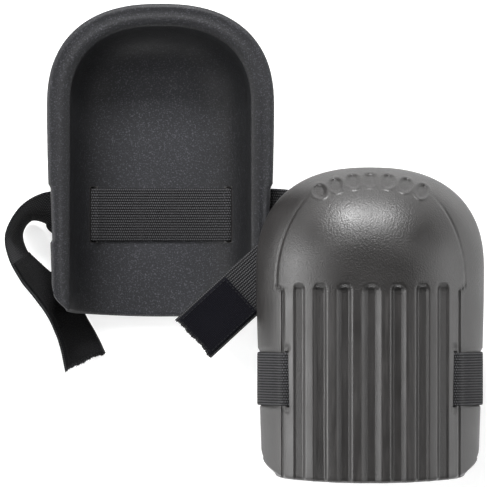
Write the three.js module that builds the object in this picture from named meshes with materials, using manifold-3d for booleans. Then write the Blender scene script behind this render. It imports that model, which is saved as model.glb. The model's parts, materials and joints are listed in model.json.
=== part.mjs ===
// A pair of moulded foam knee pads with elastic straps, laid out on a floor.
// The left pad lies on its dome with the hollow up and its strap open.
// The right pad is dome up and stands on its own strap, closed into a hoop.
// Millimetres, +Z up, origin on the floor under the middle of the layout.
//
// A shell's own frame: x across, y from the open shin end to the top, z from the rim to the dome.
import * as THREE from 'three';
import Module from 'manifold-3d';
import { mergeVertices } from 'three/addons/utils/BufferGeometryUtils.js';

const wasm = await Module();
wasm.setup();

// Shell outline
const shellLength = 226;
const shellWidth = 164;
const endTaper = 7;
const endCorner = 16;
const archHeight = 74;
const archPower = 2.4;
// Shell height and hollow
const domeHeight = 57.5;
const capRise = 2.5;
const hollowDepth = 46;
const hollowWidth = 130;
const topBand = 16.5;
const rimLip = 3;
const lipInset = 2;
// Raised cap and flutes
const capWidth = 134;
const capHeight = 82;
const capStep = 4;
const fluteLength = 136;
const fluteDepth = 3.4;
const fluteSpread = 74.7;
const fluteAngle = 0.2533;
const fluteShare = 0.365;
const lastFlute = 4;
// Strap and patches
const strapWidth = 38;
const strapThickness = 1.6;
const strapUp = 74;
const slotInside = 48;
const slotRise = 2.5;
const slotClearance = 1.2;
const selvedge = 2;
const patchThickness = 1.4;
const hookPatchLength = 50;
const loopPatchLength = 92;
// Fits and layout
const gap = 0.3;
const layClearance = 0.8;
const restLength = 60;
const padOverlap = 13;
const hoopClearance = 25;

const patchWidth = strapWidth - 2 * selvedge;
const endWidth = shellWidth - endTaper;
const floorUp = domeHeight + capRise;
const rimEdge = shellWidth / 2;
const archBase = shellLength - archHeight;
const capBase = fluteLength + 6;
const liftHeight = floorUp + strapThickness + 3 * gap;

function smooth(value) {
  const t = Math.min(Math.max(value, 0), 1);
  return t * t * (3 - 2 * t);
}

// Surface of the shell, as heights over its plan

function domeAt(s) {
  return rimLip + (domeHeight - rimLip) * Math.pow(Math.max(1 - s ** 3, 0), 1 / 1.2);
}

function hollowAt(t) {
  return rimLip + (hollowDepth - rimLip) * Math.pow(Math.max(1 - t ** 4, 0), 1 / 1.6);
}

function raisedAt(x, y) {
  const up = Math.max(y - capBase, 0) / capHeight;
  const half = (capWidth / 2) * Math.sqrt(Math.max(1 - up * up, 0));
  const inside = smooth((half - Math.abs(x)) / capStep + 0.5);
  const merge = smooth((y - capBase) / capHeight - 0.15);
  return capRise * Math.max(inside, merge);
}

function fluteAt(x, y) {
  const across = Math.min(Math.abs(x) / fluteSpread, 1);
  const q = Math.asin(across) / fluteAngle;
  const number = Math.round(q);
  const r = Math.abs(q - number) / fluteShare;
  if (number > lastFlute || r >= 1) return 0;
  const halfWide = fluteShare * fluteAngle * fluteSpread;
  const top = fluteLength + halfWide * Math.sqrt(1 - r * r);
  return fluteDepth * Math.pow(1 - r * r, 0.6) * smooth((top - y) / 5);
}

function outerAt(x, y, s) {
  const edge = 1 - smooth((s - 0.8) / 0.2);
  return domeAt(s) + (raisedAt(x, y) - fluteAt(x, y)) * edge;
}

// Plan of the shell: spokes from the middle line out to the rim, up one side, round the arch and down the other

function spokeList(legs, arches) {
  const list = [];
  for (let i = 0; i < legs; i++) list.push({ side: 1, y: (archBase * i) / legs });
  for (let i = 0; i <= arches; i++) list.push({ angle: (Math.PI * i) / arches });
  for (let i = legs - 1; i >= 0; i--) list.push({ side: -1, y: (archBase * i) / legs });
  return list;
}

function outlineHalf(y) {
  return endWidth / 2 + ((shellWidth - endWidth) / 2) * smooth(y / archBase);
}

function planPoint(spoke, share, hollow) {
  const sideHalf = hollow ? hollowWidth / 2 : shellWidth / 2;
  const archTall = hollow ? archHeight - topBand : archHeight;
  if (spoke.angle === undefined) {
    const half = hollow ? hollowWidth / 2 : outlineHalf(spoke.y);
    const x = spoke.side * share * half;
    return [x, endTrim(x, spoke.y)];
  }
  const c = Math.cos(spoke.angle);
  const s = Math.sin(spoke.angle);
  const x = Math.sign(c) * sideHalf * Math.pow(Math.abs(c), 2 / archPower);
  return [share * x, archBase + share * archTall * Math.pow(Math.max(s, 0), 2 / archPower)];
}

// The open end's two lower corners are rounded in plan
function endTrim(x, y) {
  const past = Math.abs(x) - (endWidth / 2 - endCorner);
  if (past <= 0) return y;
  const cut = endCorner - Math.sqrt(Math.max(endCorner ** 2 - past ** 2, 0));
  return y + cut * (1 - y / archBase);
}

// One spoke's profile: outside from the middle to the rim, over the rim, and inside back to the middle
function spokeProfile(spoke, steps) {
  const points = [];
  for (let k = 0; k <= steps; k++) {
    const s = k / steps;
    const [x, y] = planPoint(spoke, s, false);
    points.push([x, y, outerAt(x, y, s)]);
  }
  const lip = lipInset / (shellWidth / 2);
  points.push([...planPoint(spoke, 1 - lip, false), 0]);
  points.push([...planPoint(spoke, 1 + 2 * lip, true), 0]);
  for (let k = steps; k >= 0; k--) {
    const t = k / steps;
    points.push([...planPoint(spoke, t, true), hollowAt(t)]);
  }
  return points;
}

function solidFrom(corners, faces) {
  const shape = new THREE.BufferGeometry();
  shape.setAttribute('position', new THREE.Float32BufferAttribute(corners.flat(), 3));
  shape.setIndex(faces.flat());
  const merged = mergeVertices(shape, 1e-3);
  const index = Array.from(merged.index.array);
  const kept = [];
  for (let i = 0; i < index.length; i += 3) {
    const [a, b, c] = index.slice(i, i + 3);
    if (a !== b && b !== c && c !== a) kept.push(a, b, c);
  }
  return new wasm.Manifold(new wasm.Mesh({
    numProp: 3,
    vertProperties: new Float32Array(merged.attributes.position.array),
    triVerts: new Uint32Array(kept),
  }));
}

// A quad between two neighbouring rows, split into two triangles
function quad(a, b, c, d) {
  return [a, b, c, a, c, d];
}

function shellBlank(legs, arches, steps) {
  const rows = spokeList(legs, arches).map((spoke) => spokeProfile(spoke, steps));
  const count = rows[0].length;
  const faces = [];
  for (let j = 0; j + 1 < rows.length; j++) {
    for (let i = 0; i + 1 < count; i++) {
      const a = j * count + i;
      faces.push(quad(a, a + 1, a + 1 + count, a + count));
    }
  }
  // The flat end face joins the outside's lowest row to the hollow's on each side
  for (const row of [0, rows.length - 1]) {
    for (let i = 0; i < (count - 2) / 2; i++) {
      const a = row * count + i;
      const b = row * count + count - 1 - i;
      faces.push(row === 0 ? quad(a, b, b - 1, a + 1) : quad(a, a + 1, b - 1, b));
    }
  }
  return solidFrom(rows.flat(), faces);
}

// Strap: a flat ribbon along a route, whose width direction is given at each station

function ribbon(stations, width, thickness, offset = 0) {
  const corners = [];
  stations.forEach(({ at, along, wide }) => {
    const across = wide.clone().addScaledVector(along, -wide.dot(along)).normalize();
    const face = along.clone().cross(across);
    for (const [w, t] of [[-1, -1], [1, -1], [1, 1], [-1, 1]]) {
      const corner = at.clone().addScaledVector(across, (w * width) / 2);
      corner.addScaledVector(face, offset + (t * thickness) / 2);
      corners.push(corner.toArray());
    }
  });
  const faces = [quad(0, 3, 2, 1)];
  for (let j = 0; j + 1 < stations.length; j++) {
    for (let i = 0; i < 4; i++) {
      const a = 4 * j + i;
      const b = 4 * j + ((i + 1) % 4);
      faces.push(quad(a, b, b + 4, a + 4));
    }
  }
  const last = 4 * (stations.length - 1);
  faces.push(quad(last, last + 1, last + 2, last + 3));
  return solidFrom(corners, faces);
}

// Stations at even steps along a smooth curve through chosen places
function route(places, directions, steps) {
  const curve = new THREE.CatmullRomCurve3(places, false, 'centripetal');
  const wide = new THREE.CatmullRomCurve3(directions, false, 'centripetal');
  const stations = [];
  for (let i = 0; i <= steps; i++) {
    const share = i / steps;
    stations.push({ at: curve.getPoint(share), along: curve.getTangent(share), wide: wide.getPoint(share).normalize() });
  }
  return stations;
}

// Moves a ribbon's last station back along its route, which leaves a gap at a fold
function shortened(stations, amount) {
  const list = stations.slice();
  const last = list[list.length - 1];
  const before = list[list.length - 2];
  const back = before.at.clone().sub(last.at).setLength(amount);
  list[list.length - 1] = { ...last, at: last.at.clone().add(back) };
  return list;
}

function turnedRound(stations) {
  return stations.map((station) => ({ ...station, along: station.along.clone().negate() })).reverse();
}

function trimmed(stations, startCut, endCut) {
  const fromEnd = shortened(stations, endCut);
  return turnedRound(shortened(turnedRound(fromEnd), startCut));
}

// The strap's own line across a shell, as [x, height over the rim plane], from the middle to one side

const lift = layClearance + strapThickness / 2;
const slotStart = hollowHeight(slotInside) - 1;
const slotOutside = outsideReach(slotStart + slotRise) - 1;

// How far out the shell's outside still stands at least this high, level with the strap
function outsideReach(height) {
  const edge = outlineHalf(strapUp);
  let x = edge;
  while (outerAt(x, strapUp, x / edge) < height) x -= 0.5;
  return x;
}

function hollowHeight(x) {
  return hollowAt(Math.abs(x) / (hollowWidth / 2));
}

function acrossHollow() {
  const line = [];
  for (const share of [0, 0.3, 0.56, 0.76, 0.88]) {
    const x = share * slotInside;
    line.push([x, hollowHeight(x) - lift]);
  }
  return line;
}

function slotLine() {
  const deep = slotOutside - slotInside;
  return [0, 0.5, 1].map((share) => [slotInside - 1 + (deep + 1) * share, slotStart + slotRise * share]);
}

// The strap turns down over the shell's flank to the rim's edge
function overFlank() {
  const edge = outlineHalf(strapUp + strapWidth / 2);
  const line = [[slotOutside + 4, slotStart + slotRise - 0.4]];
  for (const share of [0.83, 0.89, 0.95, 0.995]) {
    const x = share * edge;
    const height = outerAt(x, strapUp, share);
    const slope = outerAt(x + 1, strapUp, share + 1 / edge) - outerAt(x - 1, strapUp, share - 1 / edge);
    const length = Math.hypot(slope, 2);
    line.push([x - (lift * slope) / length, height + (lift * 2) / length]);
  }
  return line;
}

// Half of the hoop under the right pad, ending flat at the given height over the floor
function hoopSide(floorHeight) {
  const wide = outlineHalf(strapUp + strapWidth / 2) + lift - restLength / 2;
  const tall = liftHeight - floorHeight;
  const line = [];
  for (let i = 1; i <= 5; i++) {
    const turn = (Math.PI / 2) * (i / 5);
    line.push([restLength / 2 + wide * Math.cos(turn), -tall * Math.sin(turn)]);
  }
  return line;
}

// Shells

function withSlots(blank) {
  let shell = blank;
  const deep = slotOutside - slotInside;
  for (const side of [-1, 1]) {
    const past = (rimEdge - slotInside) / deep;
    const stations = [-0.25, past].map((share) => ({
      at: new THREE.Vector3(side * (slotInside + deep * share), strapUp, slotStart + slotRise * share),
      along: new THREE.Vector3(side * deep, 0, slotRise).normalize(),
      wide: new THREE.Vector3(0, 1, 0),
    }));
    const tall = strapThickness + 2 * slotClearance;
    shell = shell.subtract(ribbon(stations, strapWidth + 2 * slotClearance, tall));
  }
  return shell;
}

function geometryOf(solid) {
  const mesh = solid.getMesh();
  const shape = new THREE.BufferGeometry();
  shape.setAttribute('position', new THREE.BufferAttribute(new Float32Array(mesh.vertProperties), 3));
  shape.setIndex(new THREE.BufferAttribute(new Uint32Array(mesh.triVerts), 1));
  shape.computeVertexNormals();
  return shape;
}

const foam = new THREE.MeshStandardMaterial({ color: 0x3b3b3c, roughness: 0.55, metalness: 0 });
const elastic = new THREE.MeshStandardMaterial({ color: 0x242427, roughness: 0.8, metalness: 0 });
const hook = new THREE.MeshStandardMaterial({ color: 0x17171c, roughness: 0.7, metalness: 0 });
const loop = new THREE.MeshStandardMaterial({ color: 0x1b1b1d, roughness: 0.95, metalness: 0 });

function piece(name, solid, material) {
  const mesh = new THREE.Mesh(geometryOf(solid), material);
  mesh.name = name;
  return mesh;
}

// Left pad: hollow up, so the shell is turned over about its length

const overRim = floorUp + strapThickness / 2 + 1.5 * gap;
const slotMouth = floorUp - slotStart - slotRise;
const dir = (x, y, z) => new THREE.Vector3(x, y, z).normalize();
const flat = dir(0, 1, 0);

// A place on the loop tail, past the rim's left edge, with its lower edge just over the floor
function onEdge(past, y, wide) {
  return [new THREE.Vector3(-(rimEdge + past), strapUp + y, (strapWidth / 2) * wide.z + strapThickness), wide];
}

// A place on the hook tail, past the rim's right edge, part of the way up from the slot to over the rim
function risen(past, y, share, wide) {
  const height = slotMouth + share * (overRim - slotMouth);
  return [new THREE.Vector3(rimEdge + past, strapUp + y, height), wide];
}

function atSlot(side, past, y, drop, wide) {
  return [new THREE.Vector3(side * (slotOutside + past), strapUp + y, slotMouth - drop), wide];
}

// Loop tail: leaves the slot, turns up on edge, and comes round to the floor below the pad's corner
const loopTail = [
  atSlot(-1, 1, 0, 0, flat),
  atSlot(-1, 7, 0.2, 0.4, flat),
  atSlot(-1, 14, 1.7, 1, dir(-0.03, 0.9, 0.4)),
  atSlot(-1, 25, 4.5, 1, dir(-0.1, 0.6, 0.8)),
  onEdge(16, 0.5, dir(-0.2, 0.25, 0.95)),
  onEdge(24.5, -14, dir(-0.3, 0, 0.95)),
  onEdge(21.5, -29.5, dir(-0.34, -0.1, 0.93)),
  onEdge(12.5, -42, dir(-0.36, -0.32, 0.88)),
  onEdge(0.5, -54.5, dir(-0.42, -0.38, 0.82)),
  onEdge(-10, -67.5, dir(-0.5, -0.38, 0.78)),
  onEdge(-18, -83, dir(-0.58, -0.32, 0.74)),
  onEdge(-23, -95, dir(-0.68, -0.3, 0.66)),
  onEdge(-27, -107, dir(-0.78, -0.3, 0.55)),
];

// Hook tail: leaves the other slot, doubles back under the right pad, and lies over the rim
const acrossRim = dir(-0.68, 0.735, 0);
const hookTail = [
  atSlot(1, 1, 0, 0, flat),
  atSlot(1, 13, 0, 0, flat),
  risen(6, -0.5, 0.09, flat),
  risen(20, -2.5, 0.28, dir(-0.05, 0.99, 0.05)),
  risen(28, -6, 0.55, dir(-0.25, 0.9, 0.15)),
  risen(28, -11, 0.82, dir(-0.45, 0.85, 0.15)),
  risen(21, -16.5, 0.98, dir(-0.62, 0.78, 0)),
  risen(12, -24.5, 1, dir(-0.66, 0.75, 0)),
  risen(0, -35.7, 1, acrossRim),
  risen(-12.6, -47.3, 1, acrossRim),
  risen(-21.6, -55.5, 1, acrossRim),
  risen(-40, -72.3, 1, acrossRim),
  risen(-58.4, -89.5, 0.83, acrossRim),
];

const stepsPerPlace = 3;
const loopHingeStep = 28;
const hookHingeStep = 31;
const foldGap = 0.6;
const patchFoldGap = 2.8;

function tailStations(tail) {
  const places = tail.map((entry) => entry[0]);
  const directions = tail.map((entry) => entry[1]);
  return route(places, directions, (tail.length - 1) * stepsPerPlace);
}

function leftCentre() {
  const half = [...acrossHollow(), ...slotLine()];
  const line = [...half.slice(1).reverse().map(([x, z]) => [-x, z]), ...half];
  const places = line.map(([x, z]) => new THREE.Vector3(x, strapUp, floorUp - z));
  return route(places, places.map(() => flat), 2 * (places.length - 1));
}

// Stations whose distance along the strap from the tip is less than a length
function fromTip(stations, length) {
  let run = 0;
  let first = stations.length - 1;
  while (first > 0 && run < length) {
    run += stations[first].at.distanceTo(stations[first - 1].at);
    first -= 1;
  }
  return stations.slice(first);
}

function leftPad() {
  const pad = new THREE.Group();
  const shell = withSlots(shellBlank(10, 18, 22));
  const shellMesh = piece('left_shell', shell, foam);
  shellMesh.rotation.y = Math.PI;
  shellMesh.position.z = floorUp;
  pad.add(shellMesh);

  const loopRun = tailStations(loopTail);
  const hookRun = tailStations(hookTail);
  const fixedLoop = turnedRound(loopRun.slice(1, loopHingeStep + 1));
  const fixedHook = hookRun.slice(1, hookHingeStep + 1);
  const fixed = [...fixedLoop, ...leftCentre(), ...fixedHook];
  const strap = ribbon(trimmed(fixed, foldGap, foldGap), strapWidth, strapThickness);
  pad.add(piece('left_strap', strap, elastic));

  const loopEnd = trimmed(loopRun.slice(loopHingeStep), foldGap, gap);
  pad.add(piece('left_loop_end', ribbon(loopEnd, strapWidth, strapThickness), elastic));
  const hookEnd = trimmed(hookRun.slice(hookHingeStep), foldGap, gap);
  pad.add(piece('left_hook_end', ribbon(hookEnd, strapWidth, strapThickness), elastic));

  const onTop = -(strapThickness / 2 + gap + patchThickness / 2);
  const endLength = lengthOf(loopRun.slice(loopHingeStep));
  const patchRun = fromTip(loopRun.slice(0, loopHingeStep + 1), loopPatchLength - endLength);
  const upperPatch = trimmed(patchRun, gap, patchFoldGap);
  pad.add(piece('left_loop_patch', ribbon(upperPatch, patchWidth, patchThickness, onTop), loop));
  const endPatch = trimmed(loopRun.slice(loopHingeStep), patchFoldGap, 2);
  pad.add(piece('left_loop_end_patch', ribbon(endPatch, patchWidth, patchThickness, onTop), loop));
  const hookPatch = trimmed(fromTip(hookRun.slice(hookHingeStep), hookPatchLength), patchFoldGap, 2);
  pad.add(piece('left_hook_patch', ribbon(hookPatch, patchWidth, patchThickness, onTop), hook));
  return pad;
}

function lengthOf(stations) {
  let run = 0;
  for (let i = 1; i < stations.length; i++) run += stations[i].at.distanceTo(stations[i - 1].at);
  return run;
}

// Right pad: dome up, on its strap closed into a hoop

function planar(line, side) {
  return line.map(([x, z]) => new THREE.Vector3(side * x, strapUp, liftHeight + z));
}

function stationsOf(places) {
  return route(places, places.map(() => flat), 2 * (places.length - 1));
}

function rightPad() {
  const pad = new THREE.Group();
  const shellMesh = piece('right_shell', withSlots(shellBlank(10, 18, 22)), foam);
  shellMesh.position.z = liftHeight;
  pad.add(shellMesh);

  const half = [...acrossHollow(), ...slotLine(), ...overFlank()];
  const loopHeight = strapThickness / 2;
  const hookHeight = loopHeight + strapThickness + 2 * patchThickness + 3 * gap;
  const loopSide = planar([...half.slice(1), ...hoopSide(loopHeight)], -1);
  const hookSide = planar([...half, ...hoopSide(hookHeight)], 1);
  const tabLength = restLength / 2 - 4;
  const loopFlat = [0, 1].map((i) => new THREE.Vector3((2 * i - 1) * tabLength, strapUp, loopHeight));
  const loopPlaces = [...loopSide, ...loopFlat];
  const whole = stationsOf([...loopPlaces.slice().reverse(), ...hookSide]);
  const strap = ribbon(trimmed(whole, gap, foldGap), strapWidth, strapThickness);
  pad.add(piece('right_strap', strap, elastic));

  const overLoop = strapThickness / 2 + gap + patchThickness / 2;
  const loopRun = fromTip(stationsOf(loopPlaces), loopPatchLength);
  const loopPatch = ribbon(trimmed(loopRun, gap, 2), patchWidth, patchThickness, overLoop);
  pad.add(piece('right_loop_patch', loopPatch, loop));

  const hookPlaces = [restLength / 2, 0, -tabLength].map((x) => new THREE.Vector3(x, strapUp, hookHeight));
  const hookRun = stationsOf(hookPlaces);
  pad.add(piece('right_hook_end', ribbon(trimmed(hookRun, foldGap, gap), strapWidth, strapThickness), elastic));
  const hookPatch = ribbon(trimmed(hookRun, patchFoldGap, 2), patchWidth, patchThickness, overLoop);
  pad.add(piece('right_hook_patch', hookPatch, hook));
  return pad;
}

// Layout: the right pad is across and down from the left one, and the box of both is centred on the origin

const group = new THREE.Group();
const left = leftPad();
const right = rightPad();
right.position.set(shellWidth - padOverlap, -(strapUp + strapWidth / 2 + hoopClearance), 0);
group.add(left, right);
group.updateMatrixWorld(true);
const box = new THREE.Box3().setFromObject(group, true);
group.position.set(-(box.min.x + box.max.x) / 2, -(box.min.y + box.max.y) / 2, -box.min.z);

export default group;
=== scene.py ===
"""A pair of moulded foam knee pads with elastic straps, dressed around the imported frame.

The left pad lies on its dome with the hollow up and its strap open. The right pad is dome up, on its
strap closed into a hoop. Sizes are in millimetres until a mesh is placed, which turns them to metres.
"""

import json
import logging
import math
import random
from dataclasses import dataclass, field
from enum import Enum
from typing import Callable, Iterable, Sequence

import bmesh
import bpy
from mathutils import Matrix, Vector
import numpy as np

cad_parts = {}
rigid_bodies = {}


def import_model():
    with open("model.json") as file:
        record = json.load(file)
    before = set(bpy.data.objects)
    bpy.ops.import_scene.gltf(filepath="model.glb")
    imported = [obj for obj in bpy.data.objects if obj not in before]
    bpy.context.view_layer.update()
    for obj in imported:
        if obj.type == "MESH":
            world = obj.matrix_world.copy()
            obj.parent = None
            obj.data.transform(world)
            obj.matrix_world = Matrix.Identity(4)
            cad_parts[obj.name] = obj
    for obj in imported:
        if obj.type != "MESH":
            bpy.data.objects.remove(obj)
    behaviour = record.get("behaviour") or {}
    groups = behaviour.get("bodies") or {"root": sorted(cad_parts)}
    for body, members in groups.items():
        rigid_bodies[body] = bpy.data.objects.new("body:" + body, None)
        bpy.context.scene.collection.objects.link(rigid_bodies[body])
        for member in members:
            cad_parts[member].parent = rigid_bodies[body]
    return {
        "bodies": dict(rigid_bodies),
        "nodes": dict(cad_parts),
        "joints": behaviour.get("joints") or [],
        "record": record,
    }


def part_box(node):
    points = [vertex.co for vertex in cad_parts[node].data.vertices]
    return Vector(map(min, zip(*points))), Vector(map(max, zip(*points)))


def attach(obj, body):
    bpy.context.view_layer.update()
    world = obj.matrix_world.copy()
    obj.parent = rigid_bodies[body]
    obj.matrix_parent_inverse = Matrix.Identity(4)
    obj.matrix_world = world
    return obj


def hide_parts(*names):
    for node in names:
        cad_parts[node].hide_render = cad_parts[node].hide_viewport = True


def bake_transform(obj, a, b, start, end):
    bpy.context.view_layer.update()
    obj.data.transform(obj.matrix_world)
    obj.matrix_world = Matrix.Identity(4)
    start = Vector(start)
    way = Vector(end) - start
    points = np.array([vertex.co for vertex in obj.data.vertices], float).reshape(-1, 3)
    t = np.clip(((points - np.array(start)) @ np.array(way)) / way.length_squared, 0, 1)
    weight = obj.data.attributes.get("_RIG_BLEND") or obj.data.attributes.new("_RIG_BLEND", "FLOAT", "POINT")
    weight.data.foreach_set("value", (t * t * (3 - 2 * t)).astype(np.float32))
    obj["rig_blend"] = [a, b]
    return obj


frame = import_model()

MM = 0.001
LOG = logging.getLogger("knee_pads")
Colour = tuple[float, float, float]
GridPoint = tuple[bmesh.types.BMVert, float, float]


def smooth(value: float) -> float:
    """Return a smooth step from 0 to 1."""
    t = min(max(value, 0.0), 1.0)
    return t * t * (3 - 2 * t)


# ---------------------------------------------------------------- finishes


class Surface(Enum):
    """The kinds of surface pattern that a finish can carry."""

    SKIN = "skin"
    LINING = "lining"
    ELASTIC = "elastic"
    HOOK = "hook"
    LOOP = "loop"
    THREAD = "thread"
    FLOOR = "floor"


@dataclass(frozen=True)
class Finish:
    """A named finish: its two colours, its roughness and the pattern that it carries."""

    name: str
    surface: Surface
    colour: Colour
    accent: Colour
    roughness: float
    sheen: float = 0.0
    specular: float = 0.5


SKIN = Finish("satin_foam_skin", Surface.SKIN, (0.0112, 0.0103, 0.0100), (0.019, 0.0175, 0.017), 0.41)
# LINING: its colour is the painted shade on the hollow's walls and at the rim's inner edge, its accent the
# painted light on the hollow's floor.
LINING = Finish("speckled_foam_lining", Surface.LINING, (0.0030, 0.0031, 0.0036), (0.0160, 0.0164, 0.0190),
                0.56, 0.0, 0.24)
# ELASTIC and THREAD: the colour, halved, is the painted shade in the weave's grooves; the accent, raised, the
# painted light on the rib and pick tops and the painted glints.
ELASTIC = Finish("ribbed_elastic", Surface.ELASTIC, (0.0030, 0.0030, 0.0034), (0.034, 0.034, 0.036),
                 0.72, 0.0, 0.14)
# HOOK and LOOP: the accent, raised by half, is also the painted highlight on the pile's tips.
HOOK = Finish("hook_tape", Surface.HOOK, (0.0014, 0.0014, 0.0030), (0.0070, 0.0070, 0.0125), 0.7, 0.0, 0.08)
LOOP = Finish("loop_tape", Surface.LOOP, (0.0024, 0.0024, 0.0028), (0.0095, 0.0095, 0.0105), 0.95, 0.02, 0.15)
# THREAD carries the same painted light and shade of the weave as ELASTIC.
THREAD = Finish("black_thread", Surface.THREAD, (0.004, 0.004, 0.005), (0.016, 0.016, 0.018), 0.6, 0.0, 0.3)
FLOOR = Finish("pale_floor", Surface.FLOOR, (0.55, 0.55, 0.55), (0.55, 0.55, 0.55), 0.9)


@dataclass
class Nodes:
    """A small helper that adds and links the nodes of one tree."""

    tree: bpy.types.NodeTree

    def add(self, kind: str, **settings: object) -> bpy.types.Node:
        """Add a node and set its properties, and its inputs where a key names one.

        Args:
            kind: the node's type name.
            settings: property values, or input values under the input's name.

        Returns:
            The new node.
        """
        node = self.tree.nodes.new(kind)
        for key, value in settings.items():
            if hasattr(node, key) and key not in node.inputs:
                setattr(node, key, value)
            else:
                node.inputs[key].default_value = value
        return node

    def link(self, source: bpy.types.NodeSocket, target: bpy.types.NodeSocket) -> None:
        """Join an output to an input."""
        self.tree.links.new(source, target)

    def math(self, operation: str, first: object, second: object = 0.0) -> bpy.types.NodeSocket:
        """Add a maths node.

        Args:
            operation: the node's operation.
            first: a socket or a number.
            second: a socket or a number.

        Returns:
            The node's result.
        """
        node = self.add("ShaderNodeMath", operation=operation)
        for index, value in enumerate((first, second)):
            if isinstance(value, bpy.types.NodeSocket):
                self.link(value, node.inputs[index])
            else:
                node.inputs[index].default_value = value
        return node.outputs[0]

    def span(self, value: bpy.types.NodeSocket, low: float, high: float,
             to_low: float = 0.0, to_high: float = 1.0) -> bpy.types.NodeSocket:
        """Map a value from one range to another, clamped at its ends.

        Args:
            value: the value.
            low: where the range starts.
            high: where the range ends.
            to_low: what the start gives.
            to_high: what the end gives.

        Returns:
            The mapped value.
        """
        node = self.add("ShaderNodeMapRange", clamp=True)
        for index, number in enumerate((low, high, to_low, to_high), start=1):
            node.inputs[index].default_value = number
        self.link(value, node.inputs[0])
        return node.outputs[0]

    def mix(self, factor: bpy.types.NodeSocket, first: object, second: object) -> bpy.types.NodeSocket:
        """Mix two colours, each a socket or a colour, by a factor.

        Args:
            factor: how much of the second colour shows.
            first: the first colour.
            second: the second colour.

        Returns:
            The mixed colour.
        """
        node = self.add("ShaderNodeMix", data_type="RGBA")
        self.link(factor, node.inputs[0])
        for index, value in ((6, first), (7, second)):
            if isinstance(value, bpy.types.NodeSocket):
                self.link(value, node.inputs[index])
            else:
                node.inputs[index].default_value = (*value, 1.0)
        return node.outputs[2]

    def attribute(self, name: str) -> bpy.types.NodeSocket:
        """Read one of the mesh's own number attributes."""
        return self.add("ShaderNodeAttribute", attribute_name=name).outputs["Fac"]

    def bump(self, height: bpy.types.NodeSocket, distance: float, strength: float) -> bpy.types.NodeSocket:
        """Add a bump node.

        Args:
            height: the height, from 0 to 1.
            distance: how far 1 stands out, in metres.
            strength: the share of the effect.

        Returns:
            The bent normal.
        """
        node = self.add("ShaderNodeBump", Distance=distance, Strength=strength)
        self.link(height, node.inputs["Height"])
        return node.outputs["Normal"]


def new_group(name: str, inputs: dict[str, str], outputs: dict[str, str]) -> tuple[Nodes, dict, dict]:
    """Make an empty shader node group.

    Args:
        name: the group's name.
        inputs: socket types under the input names.
        outputs: socket types under the output names.

    Returns:
        The node helper, the group's input sockets and its output sockets, both under their names.
    """
    tree = bpy.data.node_groups.new(name, "ShaderNodeTree")
    for in_out, sockets in (("INPUT", inputs), ("OUTPUT", outputs)):
        for label, kind in sockets.items():
            tree.interface.new_socket(name=label, in_out=in_out, socket_type=kind)
    nodes = Nodes(tree)
    entry = nodes.add("NodeGroupInput")
    leave = nodes.add("NodeGroupOutput")
    return nodes, {s: entry.outputs[s] for s in inputs}, {s: leave.inputs[s] for s in outputs}


def grain_group() -> bpy.types.NodeTree:
    """Build the skin grain: pebbled cells with fine noise, and a speckle of paler points.

    Returns:
        The node group.
    """
    nodes, entry, leave = new_group(
        "skin_grain",
        {"Vector": "NodeSocketVector", "Size": "NodeSocketFloat"},
        {"Height": "NodeSocketFloat", "Speckle": "NodeSocketFloat", "Cloud": "NodeSocketFloat"},
    )
    cells = nodes.add("ShaderNodeTexVoronoi", feature="SMOOTH_F1", Smoothness=0.6)
    fine = nodes.add("ShaderNodeTexNoise", Detail=4.0, Roughness=0.65)
    cloud = nodes.add("ShaderNodeTexNoise", Scale=38.0, Detail=3.0)
    for node in (cells, fine, cloud):
        nodes.link(entry["Vector"], node.inputs["Vector"])
    nodes.link(entry["Size"], cells.inputs["Scale"])
    nodes.link(nodes.math("MULTIPLY", entry["Size"], 1.15), fine.inputs["Scale"])
    pebble = nodes.math("MULTIPLY", cells.outputs["Distance"], 0.8)
    height = nodes.math("SUBTRACT", nodes.math("MULTIPLY", fine.outputs["Fac"], 0.75), pebble)
    nodes.link(nodes.span(height, -0.4, 0.6), leave["Height"])
    nodes.link(nodes.span(fine.outputs["Fac"], 0.54, 0.68), leave["Speckle"])
    nodes.link(nodes.span(cloud.outputs["Fac"], 0.3, 0.7), leave["Cloud"])
    return nodes.tree


def weave_group() -> bpy.types.NodeTree:
    """Build the weave: lengthwise ribs crossed by picks, from a place across and along in millimetres. Its
    Shade is painted light on the tops and painted shade in the grooves.

    Returns:
        The node group.
    """
    nodes, entry, leave = new_group(
        "elastic_weave",
        {"Across": "NodeSocketFloat", "Along": "NodeSocketFloat", "Pitch": "NodeSocketFloat"},
        {"Height": "NodeSocketFloat", "Shade": "NodeSocketFloat"},
    )
    turns = nodes.math("DIVIDE", entry["Across"], entry["Pitch"])
    rib = nodes.math("ABSOLUTE", nodes.math("SINE", nodes.math("MULTIPLY", turns, math.pi)))
    stagger = nodes.math("MULTIPLY", nodes.math("FLOOR", turns), 0.5)
    picks = nodes.math("ADD", nodes.math("DIVIDE", entry["Along"], 1.5), stagger)
    pick = nodes.math("ABSOLUTE", nodes.math("SINE", nodes.math("MULTIPLY", picks, math.pi)))
    height = nodes.math("MULTIPLY", nodes.math("POWER", rib, 0.6), nodes.math("ADD", pick, 0.45))
    nodes.link(nodes.span(height, 0.0, 1.45), leave["Height"])
    nodes.link(nodes.math("MULTIPLY", rib, nodes.span(pick, 0.0, 1.0, 0.35, 1.0)), leave["Shade"])
    return nodes.tree


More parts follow.
